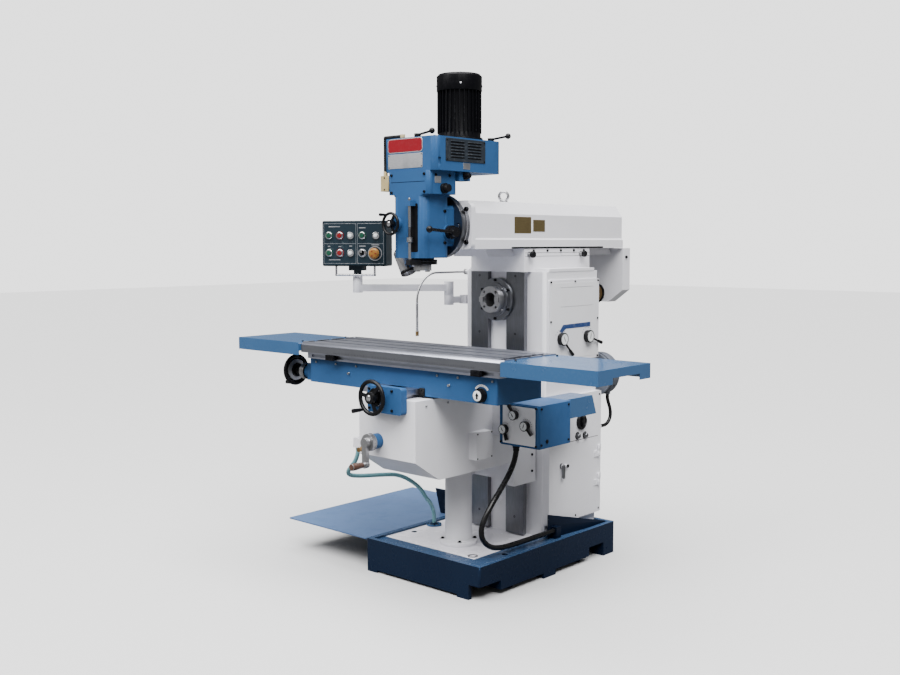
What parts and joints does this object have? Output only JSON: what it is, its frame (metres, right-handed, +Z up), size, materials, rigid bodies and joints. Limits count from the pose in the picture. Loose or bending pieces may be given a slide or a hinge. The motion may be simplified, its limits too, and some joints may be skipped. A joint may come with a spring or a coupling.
{
  "type": "horizontal milling machine",
  "caption": "Ram-head knee milling machine: horizontal spindle in the column, tilting vertical head, T-slotted table on saddle and knee, control pendant and sheet chip tray.",
  "frame": {"origin": "on the floor under the middle of the base, at the centre of the foundation bolts", "axes": "X to the operator's right, Y from the operator to the back, Z up"},
  "size_m": [2.19, 1.8663, 2.3513],
  "materials": {
    "paint_white": "satin machine enamel",
    "paint_blue": "satin machine enamel",
    "paint_navy": "worn satin enamel",
    "tray_blue": "painted sheet",
    "ground_steel": "ground and lightly oiled",
    "dark_iron": "dark oiled iron",
    "black_enamel": "black enamel",
    "black_plastic": "black grip plastic",
    "pendant_teal": "dark enamel",
    "green_plastic": "moulded",
    "red_plastic": "moulded",
    "amber_plastic": "moulded",
    "bronze": "turned bronze",
    "switch_tan": "worn enamel",
    "lamp_chrome": "bright",
    "hose_teal": "ribbed plastic hose",
    "conduit_black": "plastic conduit"
  },
  "bodies": {
    "machine_frame": {"base_casting": "paint_navy", "chip_tray": "paint_navy", "trough_cover": "paint_navy", "column": "paint_white", "column_ways": "dark_iron", "rear_motor": "paint_blue", "screw_post": "paint_white", "coolant_hose": "hose_teal", "feed_conduit": "conduit_black", "rear_conduit": "conduit_black"},
    "knee_unit": {"knee": "paint_white", "knee_ways": "ground_steel", "feed_box": "paint_blue", "feed_motor": "paint_blue", "wheel_bracket": "paint_blue"},
    "saddle_unit": {"saddle": "paint_blue"},
    "table_unit": {"table_top": "ground_steel", "end_trays": "tray_blue", "trip_dogs": "black_enamel"},
    "ram_unit": {"ram": "paint_white", "lifting_eye": "ground_steel"},
    "arbor_unit": {"arbor_support": "paint_white", "arbor_bush": "bronze"},
    "head_unit": {"swivel_disc": "dark_iron", "head_casting": "paint_blue", "gear_housing": "paint_blue", "belt_cover": "paint_blue", "motor": "black_enamel", "limit_switch": "switch_tan"},
    "boom_unit": {"boom_arm": "paint_white"},
    "pendant_unit": {"pendant": "pendant_teal"},
    "cabinet_door_body": {"cabinet_door": "paint_white"},
    "horizontal_spindle_body": {"horizontal_spindle": "ground_steel"},
    "speed_lever_left_body": {"speed_lever_left": "black_plastic"},
    "speed_lever_right_body": {"speed_lever_right": "black_plastic"},
    "nozzle_pipe_body": {"nozzle_pipe": "ground_steel"},
    "elevating_screw_body": {"elevating_screw": "ground_steel"},
    "knee_crank_body": {"knee_crank": "dark_iron"},
    "feed_lever_top_body": {"feed_lever_top": "black_plastic"},
    "feed_lever_left_body": {"feed_lever_left": "black_plastic"},
    "feed_lever_right_body": {"feed_lever_right": "black_plastic"},
    "cross_handwheel_body": {"cross_handwheel": "black_plastic"},
    "feed_knob_body": {"feed_knob": "black_plastic"},
    "table_handwheel_body": {"table_handwheel": "black_plastic"},
    "quill_body": {"quill": "dark_iron"},
    "vertical_spindle_body": {"vertical_spindle": "ground_steel"},
    "quill_lever_body": {"quill_lever": "black_plastic"},
    "fine_feed_wheel_body": {"fine_feed_wheel": "black_plastic"},
    "gear_knob_front_body": {"gear_knob_front": "black_plastic"},
    "gear_knob_rear_body": {"gear_knob_rear": "black_plastic"},
    "brake_lever_body": {"brake_lever": "black_plastic"},
    "range_lever_body": {"range_lever": "black_plastic"},
    "work_lamp_body": {"work_lamp": "lamp_chrome"},
    "start_button_body": {"start_button": "green_plastic"},
    "stop_button_body": {"stop_button": "red_plastic"},
    "feed_start_button_body": {"feed_start_button": "green_plastic"},
    "feed_stop_button_body": {"feed_stop_button": "red_plastic"},
    "coolant_button_body": {"coolant_button": "green_plastic"},
    "emergency_button_body": {"emergency_button": "amber_plastic"},
    "mode_switch_body": {"mode_switch": "black_plastic"}
  },
  "joints": [
    {"name": "door_swing", "type": "hinge", "parent": "machine_frame", "child": "cabinet_door_body", "pos_m": [0.2863, 0.4897, 0.449], "axis": [0, 0, 1], "range_deg": [0, 100]},
    {"name": "arbor_spindle_turn", "type": "hinge", "parent": "machine_frame", "child": "horizontal_spindle_body", "pos_m": [0, 0, 1.305], "axis": [0, 1, 0], "continuous": true},
    {"name": "speed_left_turn", "type": "hinge", "parent": "machine_frame", "child": "speed_lever_left_body", "pos_m": [0.2583, 0.194, 1.112], "axis": [1, 0, 0], "range_deg": [-40, 40]},
    {"name": "speed_right_turn", "type": "hinge", "parent": "machine_frame", "child": "speed_lever_right_body", "pos_m": [0.2583, 0.414, 1.112], "axis": [1, 0, 0], "range_deg": [-40, 40]},
    {"name": "nozzle_swing", "type": "hinge", "parent": "machine_frame", "child": "nozzle_pipe_body", "pos_m": [-0.2623, 0.104, 1.432], "axis": [-1, 0, 0], "range_deg": [0, 70]},
    {"name": "knee_lift", "type": "slide", "parent": "machine_frame", "child": "knee_unit", "axis": [0, 0, 1], "range_m": [-0.25, 0.16], "deforming": ["coolant_hose", "feed_conduit"]},
    {"name": "elevating_screw_turn", "type": "hinge", "parent": "knee_unit", "child": "elevating_screw_body", "pos_m": [0, -0.265, 0.7], "axis": [0, 0, 1], "continuous": true},
    {"name": "knee_crank_turn", "type": "hinge", "parent": "knee_unit", "child": "knee_crank_body", "pos_m": [-0.03, -0.806, 0.71], "axis": [0, 1, 0], "continuous": true},
    {"name": "feed_top_turn", "type": "hinge", "parent": "knee_unit", "child": "feed_lever_top_body", "pos_m": [0.365, -0.292, 0.81], "axis": [0, 1, 0], "range_deg": [-40, 40]},
    {"name": "feed_left_turn", "type": "hinge", "parent": "knee_unit", "child": "feed_lever_left_body", "pos_m": [0.307, -0.292, 0.74], "axis": [0, 1, 0], "range_deg": [-40, 40]},
    {"name": "feed_right_turn", "type": "hinge", "parent": "knee_unit", "child": "feed_lever_right_body", "pos_m": [0.429, -0.292, 0.767], "axis": [0, 1, 0], "range_deg": [-40, 40]},
    {"name": "saddle_cross", "type": "slide", "parent": "knee_unit", "child": "saddle_unit", "axis": [0, 1, 0], "range_m": [-0.09, 0.21]},
    {"name": "cross_wheel_turn", "type": "hinge", "parent": "knee_unit", "child": "cross_handwheel_body", "pos_m": [0.02, -0.83, 0.915], "axis": [0, 1, 0], "continuous": true},
    {"name": "feed_knob_turn", "type": "hinge", "parent": "saddle_unit", "child": "feed_knob_body", "pos_m": [0.481, -0.67, 0.95], "axis": [0, 1, 0], "range_deg": [-60, 60]},
    {"name": "table_feed", "type": "slide", "parent": "saddle_unit", "child": "table_unit", "axis": [1, 0, 0], "range_m": [-0.5, 0.5]},
    {"name": "table_wheel_turn", "type": "hinge", "parent": "saddle_unit", "child": "table_handwheel_body", "pos_m": [-0.75, -0.59, 0.95], "axis": [1, 0, 0], "continuous": true},
    {"name": "ram_slide", "type": "slide", "parent": "machine_frame", "child": "ram_unit", "axis": [0, 1, 0], "range_m": [-0.2, 0.25]},
    {"name": "arbor_slide", "type": "slide", "parent": "ram_unit", "child": "arbor_unit", "axis": [0, 1, 0], "range_m": [0, 0.08]},
    {"name": "head_tilt", "type": "hinge", "parent": "ram_unit", "child": "head_unit", "pos_m": [0, -0.384, 1.6553], "axis": [0, 1, 0], "range_deg": [-45, 45]},
    {"name": "quill_feed", "type": "slide", "parent": "head_unit", "child": "quill_body", "axis": [0, 0, 1], "range_m": [-0.12, 0]},
    {"name": "spindle_turn", "type": "hinge", "parent": "quill_body", "child": "vertical_spindle_body", "pos_m": [0, -0.507, 1.5], "axis": [0, 0, 1], "continuous": true},
    {"name": "quill_lever_turn", "type": "hinge", "parent": "head_unit", "child": "quill_lever_body", "pos_m": [0.13, -0.447, 1.6273], "axis": [1, 0, 0], "range_deg": [0, 112]},
    {"name": "fine_wheel_turn", "type": "hinge", "parent": "head_unit", "child": "fine_feed_wheel_body", "pos_m": [-0.066, -0.63, 1.6643], "axis": [0, 1, 0], "continuous": true},
    {"name": "gear_front_turn", "type": "hinge", "parent": "head_unit", "child": "gear_knob_front_body", "pos_m": [0.14, -0.509, 1.8193], "axis": [1, 0, 0], "range_deg": [-60, 60]},
    {"name": "gear_rear_turn", "type": "hinge", "parent": "head_unit", "child": "gear_knob_rear_body", "pos_m": [0.15, -0.3793, 1.8773], "axis": [1, 0, 0], "range_deg": [-60, 60]},
    {"name": "brake_turn", "type": "hinge", "parent": "head_unit", "child": "brake_lever_body", "pos_m": [0.03, -0.568, 2.05], "axis": [0, 0, 1], "range_deg": [-30, 30]},
    {"name": "range_turn", "type": "hinge", "parent": "head_unit", "child": "range_lever_body", "pos_m": [0.125, -0.179, 2.05], "axis": [0, 0, 1], "range_deg": [-30, 30]},
    {"name": "lamp_tilt", "type": "hinge", "parent": "head_unit", "child": "work_lamp_body", "pos_m": [-0.1143, -0.4523, 1.5423], "axis": [1, 0, 0], "range_deg": [-30, 30]},
    {"name": "boom_swing", "type": "hinge", "parent": "machine_frame", "child": "boom_unit", "pos_m": [-0.3, 0, 1.3], "axis": [0, 0, 1], "range_deg": [-60, 10]},
    {"name": "pendant_swivel", "type": "hinge", "parent": "boom_unit", "child": "pendant_unit", "pos_m": [-0.62, -0.33, 1.44], "axis": [0, 0, 1], "range_deg": [-45, 45]},
    {"name": "start_press", "type": "slide", "parent": "pendant_unit", "child": "start_button_body", "axis": [-0.5, 0.866, 0], "range_m": [0, 0.004], "stiffness_N_per_m": 300},
    {"name": "stop_press", "type": "slide", "parent": "pendant_unit", "child": "stop_button_body", "axis": [-0.5, 0.866, 0], "range_m": [0, 0.004], "stiffness_N_per_m": 300},
    {"name": "feed_start_press", "type": "slide", "parent": "pendant_unit", "child": "feed_start_button_body", "axis": [-0.5, 0.866, 0], "range_m": [0, 0.004], "stiffness_N_per_m": 300},
    {"name": "feed_stop_press", "type": "slide", "parent": "pendant_unit", "child": "feed_stop_button_body", "axis": [-0.5, 0.866, 0], "range_m": [0, 0.004], "stiffness_N_per_m": 300},
    {"name": "coolant_press", "type": "slide", "parent": "pendant_unit", "child": "coolant_button_body", "axis": [-0.5, 0.866, 0], "range_m": [0, 0.004], "stiffness_N_per_m": 300},
    {"name": "emergency_press", "type": "slide", "parent": "pendant_unit", "child": "emergency_button_body", "axis": [-0.5, 0.866, 0], "range_m": [0, 0.006], "stiffness_N_per_m": 300},
    {"name": "mode_turn", "type": "hinge", "parent": "pendant_unit", "child": "mode_switch_body", "pos_m": [-0.5475, -0.3655, 1.53], "axis": [0.5, -0.866, 0], "range_deg": [-45, 45]}
  ],
  "couplings": [
    {"joint": "elevating_screw_turn", "follows": "knee_lift", "rad_per_m": 1256.6},
    {"joint": "knee_crank_turn", "follows": "knee_lift", "rad_per_m": 2513.3},
    {"joint": "cross_wheel_turn", "follows": "saddle_cross", "rad_per_m": 1256.6},
    {"joint": "table_wheel_turn", "follows": "table_feed", "rad_per_m": 1256.6},
    {"joint": "quill_lever_turn", "follows": "quill_feed", "rad_per_m": -16},
    {"joint": "fine_wheel_turn", "follows": "quill_feed", "rad_per_m": 2513.3}
  ]
}
